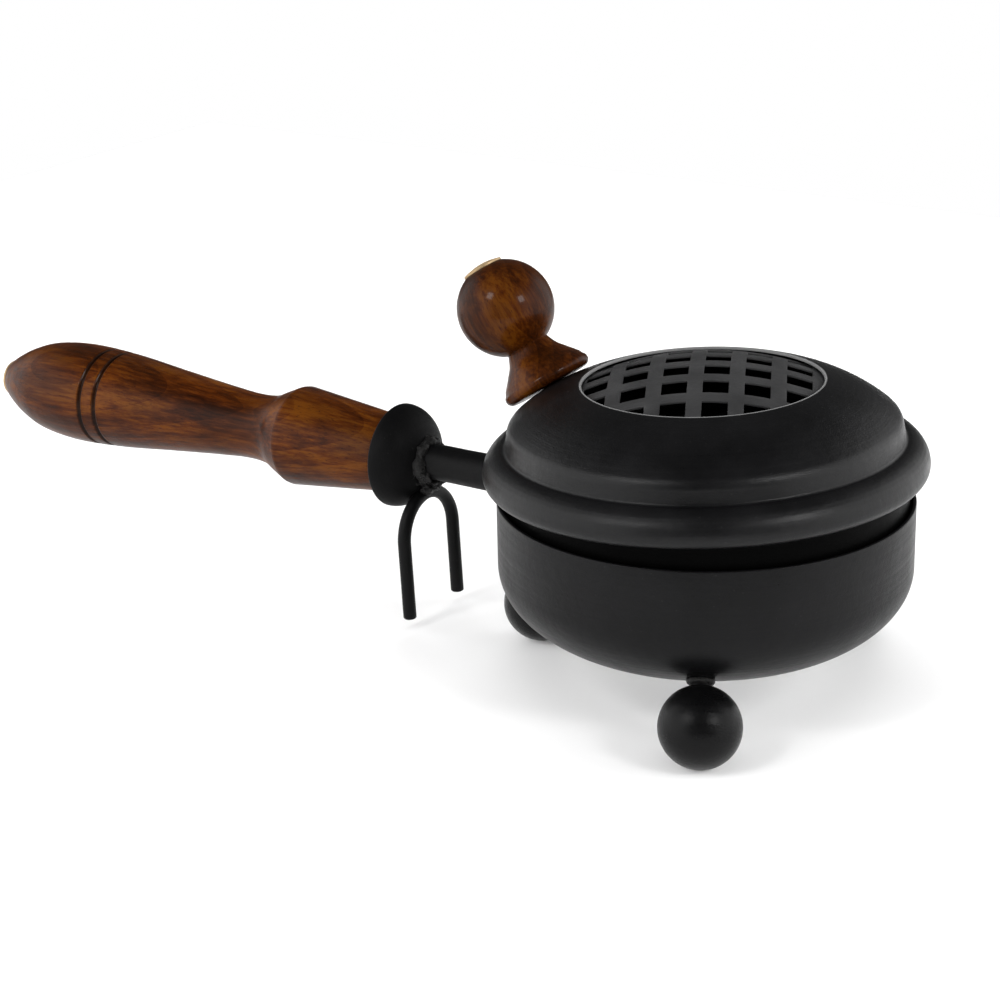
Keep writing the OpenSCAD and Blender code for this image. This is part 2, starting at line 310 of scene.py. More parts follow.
class Nodes:
    """Short calls for building a node tree."""

    def __init__(self, tree):
        self.tree = tree

    def node(self, kind, **settings):
        made = self.tree.nodes.new(kind)
        for key, value in settings.items():
            setattr(made, key, value)
        return made

    def feed(self, socket, value):
        """Sets a socket to a value, or links it to another node's output."""
        if isinstance(value, bpy.types.NodeSocket):
            self.tree.links.new(value, socket)
        else:
            socket.default_value = value

    def maths(self, operation, a, b=0.0):
        made = self.node("ShaderNodeMath", operation=operation)
        self.feed(made.inputs[0], a)
        self.feed(made.inputs[1], b)
        return made.outputs[0]

    def span(self, value, a, b, c, d, curve="LINEAR"):
        """Maps value from a..b to c..d, held at the ends."""
        made = self.node("ShaderNodeMapRange", interpolation_type=curve)
        self.feed(made.inputs["Value"], value)
        for key, number in zip(("From Min", "From Max", "To Min", "To Max"), (a, b, c, d)):
            made.inputs[key].default_value = number
        return made.outputs["Result"]


class Shader(Nodes):
    """Short calls for building a material's nodes. Its surface coordinates are in millimetres:
    those of the piece as drawn, or the frame's own for a CAD node."""

    def __init__(self, name, drawn=True):
        self.material = bpy.data.materials.new(name)
        self.material.use_nodes = True
        super().__init__(self.material.node_tree)
        self.bsdf = self.tree.nodes["Principled BSDF"]
        if drawn:
            self.place = self.node("ShaderNodeAttribute", attribute_name="Place").outputs["Vector"]
        else:
            coords = self.node("ShaderNodeTexCoord")
            self.place = self.maths3("MULTIPLY", coords.outputs["Object"], (1000, 1000, 1000))

    def maths3(self, operation, a, b):
        made = self.node("ShaderNodeVectorMath", operation=operation)
        self.feed(made.inputs[0], a)
        self.feed(made.inputs[1], b)
        return made.outputs[0]

    def noise(self, where, scale, detail, rough=0.55):
        made = self.node("ShaderNodeTexNoise")
        self.feed(made.inputs["Vector"], where)
        made.inputs["Scale"].default_value = scale
        made.inputs["Detail"].default_value = detail
        made.inputs["Roughness"].default_value = rough
        return made.outputs["Fac"]

    def mix(self, factor, a, b):
        made = self.node("ShaderNodeMix", data_type="RGBA")
        self.feed(made.inputs[0], factor)
        self.feed(made.inputs[6], a)
        self.feed(made.inputs[7], b)
        return made.outputs[2]

    def ramp(self, value, stops):
        made = self.node("ShaderNodeValToRGB")
        self.feed(made.inputs["Fac"], value)
        steps = made.color_ramp.elements
        while len(steps) < len(stops):
            steps.new(0.5)
        for step, (at, colour) in zip(steps, stops):
            step.position = at
            step.color = (*colour, 1)
        return made.outputs["Color"]

    def bump(self, heights):
        """Bump from (height, depth in millimetres) pairs, added together."""
        normal = None
        for height, depth in heights:
            made = self.node("ShaderNodeBump")
            made.inputs["Strength"].default_value = 1.0
            made.inputs["Distance"].default_value = depth * MM
            self.feed(made.inputs["Height"], height)
            if normal:
                self.feed(made.inputs["Normal"], normal)
            normal = made.outputs["Normal"]
        self.feed(self.bsdf.inputs["Normal"], normal)

    def set(self, **values):
        for key, value in values.items():
            self.feed(self.bsdf.inputs[key.replace("_", " ")], value)

    def radius(self):
        """Distance from the local Z axis, and height along it."""
        split = self.node("ShaderNodeSeparateXYZ")
        self.feed(split.inputs[0], self.place)
        across = self.maths("MULTIPLY", split.outputs[0], split.outputs[0])
        deep = self.maths("MULTIPLY", split.outputs[1], split.outputs[1])
        return self.maths("SQRT", self.maths("ADD", across, deep)), split.outputs[2]

    def turned(self, scale, detail):
        """Noise that is the same all the way round, as left by spinning or turning."""
        across, along = self.radius()
        where = self.node("ShaderNodeCombineXYZ")
        self.feed(where.inputs[0], across)
        self.feed(where.inputs[1], along)
        return self.noise(where.outputs[0], scale, detail)


def black_paint(name, tint, rough, spun, dust=0.35, shine=0.20, cut_edge=0.0, painted_shade_below=None, drawn=True):
    """Satin black over steel: fine texture, turning marks, dull patches and dust specks.
    Nearer the local Z axis than cut_edge, the sheet's bare cut edge shows, and below a given height
    (the skirt under the lid's bead) the colour is darkened and the sheen dimmed: painted shade for the
    shadow there."""
    s = Shader(name, drawn)
    cloud = s.noise(s.place, 0.06, 5)
    grain = s.noise(s.place, 2.6, 3)
    specks = s.span(s.noise(s.place, 1.3, 2, 0.4), 0.73, 0.78, 0, dust)
    rings = s.turned(0.9, 4)
    shade = s.mix(s.span(cloud, 0.3, 0.7, 0, 1), (*tint, 1), (*(c * 1.8 for c in tint), 1))
    shade = s.mix(specks, shade, (0.03, 0.029, 0.028, 1))
    if cut_edge:
        across, _ = s.radius()
        shade = s.mix(s.span(across, cut_edge, cut_edge + 0.25, 1, 0), shade, (0.17, 0.17, 0.17, 1))
    worn = s.maths("ADD", s.span(cloud, 0.3, 0.75, -0.06, 0.08), s.span(rings, 0.3, 0.7, -0.04, 0.04))
    dull = s.maths("ADD", worn, s.maths("ADD", s.span(grain, 0.2, 0.8, -0.03, 0.05), rough))
    # Painted shade: below this height, the lid's skirt in the shadow under the bead gets a near-black
    # colour and a dimmed sheen.
    if painted_shade_below is not None:
        _, along = s.radius()
        painted_shade = s.span(along, painted_shade_below, painted_shade_below + 2.5, 1, 0)
        shine = s.span(painted_shade, 0, 1, shine, 0.015)
        shade = s.mix(painted_shade, shade, (0.0007, 0.0007, 0.0007, 1))
    s.set(Base_Color=shade, Roughness=dull, Metallic=0.0, IOR=1.5, Specular_IOR_Level=shine)
    s.bump([(rings, 0.05 * spun), (grain, 0.065), (s.noise(s.place, 0.35, 3), 0.10)])
    return s.material


def weld_paint():
    """Black paint over rough weld metal."""
    s = Shader("Weld_Black")
    lump = s.noise(s.place, 0.9, 5, 0.65)
    s.set(Base_Color=s.ramp(lump, [(0.3, (0.0015, 0.0015, 0.0015)), (0.75, (0.012, 0.0117, 0.0113))]))
    s.set(Roughness=s.span(lump, 0.2, 0.8, 0.62, 0.36), Metallic=0.0, Specular_IOR_Level=0.25)
    s.bump([(lump, 0.5), (s.noise(s.place, 4.5, 3), 0.07)])
    return s.material


def lacquered_wood(name, heart, slope, dark=1.0, burnt=()):
    """Dark walnut with amber streaks along the local Z axis, under a thin lacquer.
    heart is the tree's centre across the piece, slope tilts the grain, and burnt holds the
    heights of dark lines round the piece."""
    s = Shader(name)
    tilted = s.node("ShaderNodeMapping", vector_type="POINT")
    s.feed(tilted.inputs["Vector"], s.place)
    tilted.inputs["Location"].default_value = (*heart, 0)
    tilted.inputs["Rotation"].default_value = (math.radians(slope), math.radians(slope * 0.6), 0)
    base = tilted.outputs["Vector"]
    stretched = s.maths3("MULTIPLY", base, (1, 1, 0.05))
    sway = s.noise(s.maths3("MULTIPLY", base, (0.5, 0.5, 0.12)), 0.16, 3)
    rings = s.node("ShaderNodeTexWave", wave_type="RINGS", rings_direction="Z", wave_profile="SAW")
    s.feed(rings.inputs["Vector"], s.maths3("MULTIPLY", base, (1, 1, 0.02)))
    rings.inputs["Scale"].default_value = 0.075
    rings.inputs["Distortion"].default_value = 5.5
    rings.inputs["Detail"].default_value = 3.0
    rings.inputs["Detail Scale"].default_value = 0.12
    streak = s.noise(stretched, 0.9, 5, 0.62)
    pores = s.span(s.noise(s.maths3("MULTIPLY", base, (1, 1, 0.09)), 3.4, 2, 0.5), 0.60, 0.70, 0, 1)
    figure = s.maths("ADD", s.maths("MULTIPLY", rings.outputs["Fac"], 0.07),
                     s.maths("ADD", s.maths("MULTIPLY", streak, 0.55), s.maths("MULTIPLY", sway, 0.57)))
    tone = [(0.42, (0.011, 0.0023, 0.0003)), (0.53, (0.031, 0.0064, 0.0005)),
            (0.62, (0.064, 0.0145, 0.0010)), (0.74, (0.112, 0.033, 0.0022))]
    # Every tone is scaled by dark; the knob's lower value is painted shade.
    colour = s.ramp(figure, [(at, tuple(c * dark for c in shade)) for at, shade in tone])
    blotch = s.span(s.noise(s.maths3("MULTIPLY", base, (1, 1, 0.35)), 0.085, 3), 0.35, 0.68, 0.0, 1.0)
    colour = s.mix(blotch, s.mix(0.5, colour, (0.014, 0.0046, 0.0013, 1)), colour)
    colour = s.mix(s.maths("MULTIPLY", pores, 0.6), colour, (0.005, 0.0018, 0.0006, 1))
    _, along = s.radius()
    for at in burnt:
        near = s.maths("ABSOLUTE", s.maths("SUBTRACT", along, at))
        colour = s.mix(s.span(near, 0.7, 1.3, 0.85, 0.0), colour, (0.002, 0.0009, 0.0004, 1))
    s.set(Base_Color=colour, Roughness=s.span(streak, 0.3, 0.7, 0.30, 0.44))
    s.set(Specular_IOR_Level=0.04, Coat_Weight=0.12, Coat_Roughness=0.11, Coat_IOR=1.5)
    wave = s.noise(s.place, 0.16, 2)
    s.bump([(wave, 0.22), (s.turned(0.7, 3), 0.018), (pores, -0.02)])
    return s.material


def cap_brass():
    """Pale, softly polished discs, darker towards the rim."""
    s = Shader("Cap_Pale")
    across, _ = s.radius()
    blot = s.noise(s.place, 0.5, 4)
    pale = s.mix(s.span(blot, 0.35, 0.7, 0, 1), (0.66, 0.50, 0.29, 1), (0.50, 0.36, 0.19, 1))
    s.set(Base_Color=s.mix(s.span(across, 5.2, 6.6, 0, 0.55), pale, (0.20, 0.12, 0.06, 1)))
    s.set(Metallic=0.55, Roughness=s.span(blot, 0.3, 0.7, 0.30, 0.45))
    s.bump([(s.turned(2.0, 3), 0.03), (s.noise(s.place, 2.5, 3), 0.012)])
    return s.material


def zinc_plate():
    """Dull zinc plate on the small hardware."""
    s = Shader("Zinc_Dull", drawn=False)
    blot = s.noise(s.place, 1.2, 5)
    s.set(Base_Color=s.ramp(blot, [(0.3, (0.30, 0.30, 0.29)), (0.7, (0.52, 0.52, 0.50))]))
    s.set(Metallic=1.0, Roughness=s.span(blot, 0.3, 0.7, 0.34, 0.52))
    s.bump([(s.noise(s.place, 4.0, 3), 0.02)])
    return s.material


def floor_paint():
    """Plain pale paint for the floor."""
    s = Shader("Floor_Pale")
    cloud = s.noise(s.place, 0.004, 3)
    s.set(Base_Color=s.mix(cloud, (0.93, 0.93, 0.93, 1), (0.90, 0.90, 0.90, 1)), Roughness=0.75)
    s.bump([(s.noise(s.place, 0.3, 2), 0.01)])
    return s.material


PAINT_BOWL = black_paint("Black_Bowl", (0.0020, 0.0020, 0.0022), rough=0.36, spun=1.0, shine=0.13)
# The lid's skirt below 2.5 mm is darkened and dulled as painted shade for the bead's shadow.
PAINT_LID = black_paint("Black_Lid", (0.0020, 0.0020, 0.0022), rough=0.35, spun=1.2, shine=0.22,
                        cut_edge=37.25, painted_shade_below=2.5)
PAINT_BALL = black_paint("Black_Ball", (0.0014, 0.0014, 0.0015), rough=0.30, spun=0.2, dust=0.15,
                         shine=0.13)
PAINT_ROD = black_paint("Black_Rod", (0.0020, 0.0020, 0.0021), rough=0.44, spun=0.2, shine=0.10)
PAINT_HINGE = black_paint("Black_Hinge", (0.0026, 0.0026, 0.0027), rough=0.42, spun=0.0, drawn=False)
PAINT_BELL = black_paint("Black_Bell", (0.0020, 0.0020, 0.0021), rough=0.50, spun=0.8, shine=0.05)
PAINT_GRILLE = black_paint("Black_Grille", (0.0190, 0.0190, 0.0194), rough=0.50, spun=0.0, shine=0.3)
WELD = weld_paint()
WOOD_GRIP = lacquered_wood("Walnut_Grip", heart=(26, -17), slope=2.2, burnt=GROOVES_AT)
# The knob is the grip's walnut scaled down to 0.65: painted shade, making up for the key lights that fall
# on it.
WOOD_KNOB = lacquered_wood("Walnut_Knob", heart=(19, 12), slope=-7, dark=0.65)
CAP = cap_brass()
ZINC = zinc_plate()


# --- The bowl and its feet ----------------------------------------------------------------------

def make_bowl():
    corner = (BOWL_R - CORNER_W, BOWL_LOW + CORNER_H)
    inner_w, inner_h = CORNER_W - BOWL_SHEET, CORNER_H - BOWL_SHEET
    outer = oval(corner, CORNER_W, CORNER_H, -90, 0, 40)
    inner = oval(corner, inner_w, inner_h, 0, -90, 40)
    wall = [(BOWL_R, RIM_Z - RIM_BAND), (BOWL_R, RIM_Z), (BOWL_R - BOWL_SHEET, RIM_Z),
            (BOWL_R - BOWL_SHEET, RIM_Z - RIM_BAND)]
    line = [(0, BOWL_LOW)] + outer + wall + inner + [(0, BOWL_LOW + BOWL_SHEET)]
    piece = lathe("Bowl", eased(line, 0.45), Matrix.Identity(4), 256)
    finished(piece, PAN, PAINT_BOWL, "blackened_steel", "bowl")


BALL_R = (high("foot_ball_rear").z - low("foot_ball_rear").z) / 2
STUD_R = 3.2
STUD_LEAN = 34.8
STUD_START = 6
STUD_TOP = 14.5
STUD_FIT = 0.05
FOOT_WELD_AT = 13.5


def make_foot(name, seed):
    ball = middle("foot_ball_" + name)
    around = math.degrees(math.atan2(ball.y, ball.x))
    place = turned_z(around) @ moved(math.hypot(ball.x, ball.y), 0, BALL_R) @ turned_y(-STUD_LEAN)
    seat = math.degrees(math.acos((STUD_R + 0.2) / BALL_R))
    bore = STUD_R + STUD_FIT
    line = arc((0, 0), BALL_R, -90, seat, 60) + [(bore, BALL_R * 0.9), (bore, STUD_START), (0, STUD_START)]
    finished(lathe("Ball_" + name, line, place, 128), PAN, PAINT_BALL, "gloss_black_steel",
             "foot_ball_" + name)
    foot = STUD_START + STUD_FIT
    stud = [(0, foot), (STUD_R, foot), (STUD_R - 0.05, 11.9), (STUD_R + 0.25, 12.6),
            (STUD_R, 13.2), (STUD_R, STUD_TOP), (0, STUD_TOP)]
    finished(lathe("Stud_" + name, eased(stud, 0.2), place, 64), PAN, PAINT_ROD, "blackened_steel",
             "foot_stud_" + name)
    bead = lumpy_ring("Foot_Weld_" + name, place, STUD_R, 0.95, FOOT_WELD_AT, seed, lumps=11)
    finished(bead, PAN, WELD, "weld", "foot_weld_" + name)


# --- The rod, the ferrule and the fork ----------------------------------------------------------

FERRULE_MOUTH = -low("ferrule").x
FERRULE_R = (high("ferrule").z - low("ferrule").z) / 2
BELL_AT = FERRULE_MOUTH - 1.3
BELL_LEN = 12.8
SOCKET_R = 13
SOCKET_FLOOR = FERRULE_MOUTH - 7.8
GRIP_END = -low("grip").x
TANG_R = 2.5
TANG_END = GRIP_END - 5
TANG_CHAMFER = 0.4
BORE_FIT = 0.05


def make_rod():
    line = [(0, ROD_START), (ROD_R, ROD_START), (ROD_R, SOCKET_FLOOR), (TANG_R, SOCKET_FLOOR),
            (TANG_R, TANG_END - TANG_CHAMFER), (TANG_R - TANG_CHAMFER, TANG_END), (0, TANG_END)]
    body = []
    for a, b in zip(line, line[1:]):
        count = max(1, int(abs(b[1] - a[1]) / 3))
        body += [(a[0] + (b[0] - a[0]) * i / count, a[1] + (b[1] - a[1]) * i / count)
                 for i in range(count)]
    body.append(line[-1])

    def uneven(a, r, h):
        return 0.07 * noise.noise((2 * math.cos(a), 2 * math.sin(a), h * 0.09)) - 0.03

    rod = lathe("Handle_Rod", body, HANDLE_AT, 72, dent=uneven)
    finished(rod, PAN, PAINT_ROD, "blackened_steel", "handle_rod")
    root = lumpy_ring("Rod_Root_Weld", HANDLE_AT, ROD_R - 0.1, 1.1, BOWL_R + ROD_SUNK, 3.1)
    finished(root, PAN, WELD, "weld", "rod_root_weld")


def make_ferrule():
    bore = ROD_R + BORE_FIT
    lip = 1.3
    pole = math.degrees(math.acos(bore / FERRULE_R))
    line = (oval((0, BELL_AT), FERRULE_R, BELL_LEN, -pole, 0, 36)
            + arc((FERRULE_R - lip, BELL_AT), lip, 0, 90, 8)
            + [(SOCKET_R, FERRULE_MOUTH), (SOCKET_R, SOCKET_FLOOR), (bore, SOCKET_FLOOR)])
    bell = lathe("Ferrule", eased(line, 0.3, closed=True), HANDLE_AT, 160, closed=True)
    finished(bell, PAN, PAINT_BELL, "blackened_steel", "ferrule")
    bead_at = BELL_AT - BELL_LEN + 0.8
    ring = lumpy_ring("Ferrule_Weld", HANDLE_AT, ROD_R + 0.2, 1.75, bead_at, 7.7, rough=0.75, lumps=11)
    drops = [blob("Drop", HANDLE_AT @ turned_z(turn) @ moved(reach, 0, at), size, seed, rough=0.55)
             for turn, reach, at, size, seed in (
                 (150, 6.4, 103.0, (1.7, 2.9, 3.0), 1.0), (118, 6.8, 105.4, (1.9, 2.8, 2.6), 2.0),
                 (176, 6.4, 101.2, (1.7, 3.0, 2.7), 3.0), (205, 6.8, 104.8, (2.0, 3.0, 2.8), 4.0),
                 (236, 6.4, 102.4, (1.5, 2.6, 2.3), 5.0), (84, 6.3, 103.8, (1.3, 2.4, 2.0), 6.0),
                 (266, 6.4, 104.0, (1.5, 2.8, 2.4), 7.0), (52, 6.2, 102.8, (1.1, 2.2, 1.6), 8.0),
                 (222, 8.6, 107.0, (1.5, 2.6, 2.2), 9.0), (250, 8.2, 106.6, (1.4, 2.2, 2.0), 10.0),
                 (192, 8.8, 107.3, (1.5, 2.4, 1.9), 14.0))]
    finished(join("Ferrule_Weld", [ring] + drops), PAN, WELD, "weld", "ferrule_weld")


WIRE_R = 2.2
FORK_HALF = middle("prop_fork").y + (high("prop_fork").y - low("prop_fork").y) / 2 - WIRE_R
FORK_TOP = high("prop_fork").z - WIRE_R
FORK_LEG = 25.8
FORK_LEAN = 2.5
FORK_AT = -105.4


def make_fork():
    place = moved(FORK_AT, 0, FORK_TOP) @ turned_y(-FORK_LEAN) @ moved(0, 0, -FORK_HALF)
    legs = 14
    right = [(0, FORK_HALF, -FORK_LEG + FORK_LEG * i / legs) for i in range(legs)]
    bend = [(0, y, z) for y, z in arc((0, 0), FORK_HALF, 0, 180, 40)]
    left = [(0, -FORK_HALF, -FORK_LEG * (i + 1) / legs) for i in range(legs)]
    route = right + bend + left
    cut = 0.35
    start = [(0, FORK_HALF, -FORK_LEG), (0, FORK_HALF, -FORK_LEG + cut)]
    end = [(0, -FORK_HALF, -FORK_LEG + cut), (0, -FORK_HALF, -FORK_LEG)]
    route = start + route[1:-1] + end
    radii = [WIRE_R - cut, WIRE_R] + [WIRE_R] * (len(route) - 4) + [WIRE_R, WIRE_R - cut]
    fork = sweep("Prop_Fork", route, radii, place)
    finished(fork, PAN, PAINT_ROD, "blackened_steel", "prop_fork")
    weld_place = middle("fork_weld")
    drops = [blob("Drop", moved(weld_place.x + dx, dy, weld_place.z + dz), size, seed)
             for dx, dy, dz, size, seed in (
                 (0.0, -2.2, 0.0, (2.3, 2.4, 2.2), 11.0), (0.2, 0.2, 0.1, (2.4, 2.4, 2.3), 12.0),
                 (-0.1, 2.2, 0.0, (2.2, 2.4, 2.1), 13.0))]
    finished(join("Fork_Weld", drops), PAN, WELD, "weld", "fork_weld")


# --- The grip -----------------------------------------------------------------------------------

CAP_R = 6.6
CAP_BORE_R = 5.3
EGG_AT = 253
EGG_R = (high("grip").z - low("grip").z) / 2
WAIST_R = 11.3
WAIST_AT = 176
COLLAR_R = 17
COLLAR_AT = 155.3
GROOVE_DEPTH = 0.85
GROOVE_HALF = 1.0
CAP_BORE_DEPTH = 11.5


def make_grip():
    start = SOCKET_FLOOR + 0.4
    back = smooth([
        (COLLAR_R - 0.2, COLLAR_AT + 1.3), (WAIST_R + 3.4, COLLAR_AT + 6),
        (WAIST_R + 0.8, COLLAR_AT + 12), (WAIST_R, WAIST_AT), (WAIST_R + 0.9, WAIST_AT + 13),
        (WAIST_R + 3.1, WAIST_AT + 35),
        (WAIST_R + 5.4, EGG_AT - 20), (EGG_R, EGG_AT), (EGG_R - 1.4, EGG_AT + 15),
        (EGG_R - 4.4, EGG_AT + 24.5), (EGG_R - 8.2, EGG_AT + 32), (CAP_R, GRIP_END)], 12)
    cut = []
    for r, h in back:
        near = min(GROOVES_AT, key=lambda g: abs(g - h))
        if abs(h - near) > GROOVE_HALF + 0.15:
            cut.append((r, h))
    for groove in GROOVES_AT:
        edge = np.interp(groove, [h for r, h in back], [r for r, h in back])
        for i in range(9):
            h = groove - GROOVE_HALF + 2 * GROOVE_HALF * i / 8
            dip = GROOVE_DEPTH * math.sin(math.pi * i / 8) ** 0.7
            cut.append((float(edge) - dip, h))
    cut.sort(key=lambda p: p[1])
    mouth = (SOCKET_R - 0.25, FERRULE_MOUTH + 0.2)
    front = [(SOCKET_R - 0.3, start), mouth]
    cone = [(mouth[0] + (COLLAR_R - mouth[0]) * t, mouth[1] + (COLLAR_AT - mouth[1]) * t)
            for t in (0.12, 0.35, 0.6, 0.85, 1)]
    tang_bore = TANG_R + BORE_FIT
    bore = [(CAP_BORE_R, GRIP_END), (CAP_BORE_R, GRIP_END - CAP_BORE_DEPTH),
            (tang_bore, GRIP_END - CAP_BORE_DEPTH), (tang_bore, start)]
    line = front + cone + cut + bore
    grip = lathe("Grip", eased(line, 0.7, closed=True), HANDLE_AT, 160, closed=True)
    finished(grip, PAN, WOOD_GRIP, "turned_wood", "grip")


def cap_line():
    """A low domed button on a short plug."""
    rise, edge = 1.1, 0.8
    rim = CAP_R - 0.2
    dome = (rim ** 2 + rise ** 2) / (2 * rise)
    top = [(rim * (1 - i / 10), edge + rise - dome + math.sqrt(dome ** 2 - (rim * (1 - i / 10)) ** 2))
           for i in range(11)]
    return [(0, -2.4), (CAP_BORE_R - 0.05, -2.4), (CAP_BORE_R - 0.05, 0.0), (CAP_R, 0.0),
            (CAP_R, edge)] + top


def make_cap(name, place, body, node):
    cap = lathe(name, eased(cap_line(), 0.18), place, 96)
    finished(cap, body, CAP, "cap", node)


# --- The lid ------------------------------------------------------------------------------------

DOME_C, DOME_R, DOME_END = (24.1, -17.3), 52.7, 49.1
SHOULDER_C, SHOULDER_R = (55.33, 18.74), 5
GROOVE_C, GROOVE_R = (62.1, 15.98), 1.2
BEAD_C, BEAD_R = (60.3, 7.28), 7.9
BEAD_LOW_C, BEAD_LOW_R = (64.4, 7.28), 3.8
SKIRT_R, SKIRT_DEPTH, FILLET = 62.0, 9, 0.8
OPENING_R = 36.85
LID_SHEET = 1.0


def lid_line(d):
    """The lid's section, d inside its outer face, in height above the bowl's rim."""
    start = math.degrees(math.acos((OPENING_R - DOME_C[0]) / DOME_R))
    low_fillet = (SKIRT_R + FILLET, BEAD_LOW_C[1] - BEAD_LOW_R - FILLET)
    return (arc(DOME_C, DOME_R - d, start, DOME_END, 26)
            + arc(SHOULDER_C, SHOULDER_R - d, DOME_END - 5, 0, 14)
            + arc(GROOVE_C, GROOVE_R + d, 180, 255, 8)
            + arc(BEAD_C, BEAD_R - d, 74, 0, 22)
            + arc(BEAD_LOW_C, BEAD_LOW_R - d, -8, -90, 14)
            + arc(low_fillet, FILLET + d, 90, 180, 6)
            + [(SKIRT_R - d, -SKIRT_DEPTH)])


def make_lid():
    line = lid_line(0) + lid_line(LID_SHEET)[::-1]
    lid = lathe("Lid_Shell", eased(line, 0.3, limit=40, closed=True), LID_AT, 288, closed=True)
    finished(lid, LID, PAINT_LID, "blackened_steel", "lid_shell")


GRILLE_R, GRILLE_TOP, GRILLE_DOME = 43.5, 39.4, 97
GRILLE_SHEET = 0.8
SPOT_AT = 30.75
HOLE, PITCH, GRID_TURN, GRID_OFFSET, RIM_W = 7.7, 12.3, 26.5, 1.4, 3.2


def make_grille():
    """A flat pierced disc on a fine grid, lifted onto its sphere, thickened and eased."""
    pierced = GRILLE_R - RIM_W
    bar = PITCH - HOLE
    cuts = []
    for i in range(-4, 5):
        hole = i * PITCH + bar / 2
        cuts += [hole - bar + bar * k / 3 for k in range(3)]
        cuts += [hole + HOLE * k / 6 for k in range(6)]

    across, along = [c - GRID_OFFSET for c in cuts], cuts
    points = [Vector((x, y, 0)) for x in across for y in along]
    rows = len(along)

    def open_here(x, y):
        u = (x + GRID_OFFSET - bar / 2) % PITCH
        v = (y - bar / 2) % PITCH
        centre = (x - u + HOLE / 2, y - v + HOLE / 2)
        return u < HOLE and v < HOLE and math.hypot(*centre) < pierced and math.hypot(x, y) < pierced

    work = bmesh.new()
    verts = [work.verts.new(p) for p in points]
    for i in range(len(across) - 1):
        for j in range(rows - 1):
            x = (across[i] + across[i + 1]) / 2
            y = (along[j] + along[j + 1]) / 2
            if math.hypot(x, y) < GRILLE_R and not open_here(x, y):
                a = i * rows + j
                work.faces.new([verts[a], verts[a + rows], verts[a + rows + 1], verts[a + 1]])
    bmesh.ops.delete(work, geom=[v for v in work.verts if not v.link_faces], context="VERTS")
    for v in work.verts:
        far = v.co.xy.length
        if v.is_boundary and far > GRILLE_R - 1.5:
            v.co.xy *= GRILLE_R / far
        elif v.is_boundary and abs(far - pierced) < 1.4:
            v.co.xy *= pierced / far
    for v in work.verts:
        v.co.z = GRILLE_TOP - GRILLE_DOME + math.sqrt(GRILLE_DOME ** 2 - v.co.xy.length_squared)
    work.verts.index_update()
    points = [v.co.copy() for v in work.verts]
    faces = [tuple(v.index for v in f.verts) for f in work.faces]
    work.free()
    grille = new_piece("Grille", points, faces, LID_AT @ turned_z(GRID_TURN))
    thick = grille.modifiers.new("Thick", "SOLIDIFY")
    thick.thickness = GRILLE_SHEET * MM
    thick.offset = -1
    soften(grille, 0.16)
    bpy.context.view_layer.update()
    view = bpy.context.evaluated_depsgraph_get()
    shaped = bpy.data.meshes.new_from_object(grille.evaluated_get(view))
    grille.modifiers.clear()
    grille.data = shaped
    grille.data.shade_smooth()
    grille.data.set_sharp_from_angle(angle=math.radians(35))
    finished(grille, LID, PAINT_GRILLE, "grille_black", "grille")
    spots = [blob("Spot", LID_AT @ turned_z(a) @ moved(GRILLE_R - RIM_W / 2, 0, SPOT_AT),
                  (1.5, 1.5, 0.95), a * 0.1)
             for a in range(45, 360, 90)]
    finished(join("Grille_Welds", spots), LID, WELD, "weld", "grille_welds")


# --- The knob -----------------------------------------------------------------------------------

KNOB_BALL_R = 15.5
KNOB_BALL_AT = 28.3
KNOB_FOOT_R = 14.8
KNOB_NECK_R = 7
KNOB_BORE_R = 2.5
KNOB_BORE_DEPTH = 6.5
CAP_SEAT = KNOB_BALL_AT + math.sqrt(KNOB_BALL_R ** 2 - CAP_R ** 2)
KNOB_H = DOME_C[1] + math.sqrt(DOME_R ** 2 - (KNOB_REACH - DOME_C[0]) ** 2)
KNOB_AT = LID_AT @ moved(-KNOB_REACH, 0, KNOB_H) @ turned_y(-KNOB_LEAN)


def make_knob():
    rim = 2.1
    neck = math.degrees(math.acos(KNOB_NECK_R / KNOB_BALL_R))
    flat = math.degrees(math.asin((CAP_SEAT - KNOB_BALL_AT) / KNOB_BALL_R))
    flare = smooth([(KNOB_FOOT_R - 1.4, 5.2), (KNOB_FOOT_R - 3.9, 8.2), (KNOB_NECK_R + 1.5, 11.2),
                    (KNOB_NECK_R, KNOB_BALL_AT - KNOB_BALL_R * math.sin(math.radians(neck)))], 10)
    line = ([(KNOB_BORE_R, 0)] + arc((KNOB_FOOT_R - rim, rim + 0.2), rim, -85, 50, 12) + flare
            + arc((0, KNOB_BALL_AT), KNOB_BALL_R, -neck, flat, 56)[1:]
            + [(CAP_BORE_R, CAP_SEAT), (CAP_BORE_R, CAP_SEAT - KNOB_BORE_DEPTH),
               (KNOB_BORE_R, CAP_SEAT - KNOB_BORE_DEPTH)])
    knob = lathe("Knob", eased(line, 0.35, limit=30, closed=True), KNOB_AT, 160, closed=True)
    finished(knob, LID, WOOD_KNOB, "turned_wood", "knob")


# --- Small hardware that keeps its CAD shape ----------------------------------------------------

def dress(node, material, bevel):
    """A CAD node with a material and eased edges."""
    piece = frame["nodes"][node]
    piece.data.materials.clear()
    piece.data.materials.append(material)
    soften(piece, bevel)


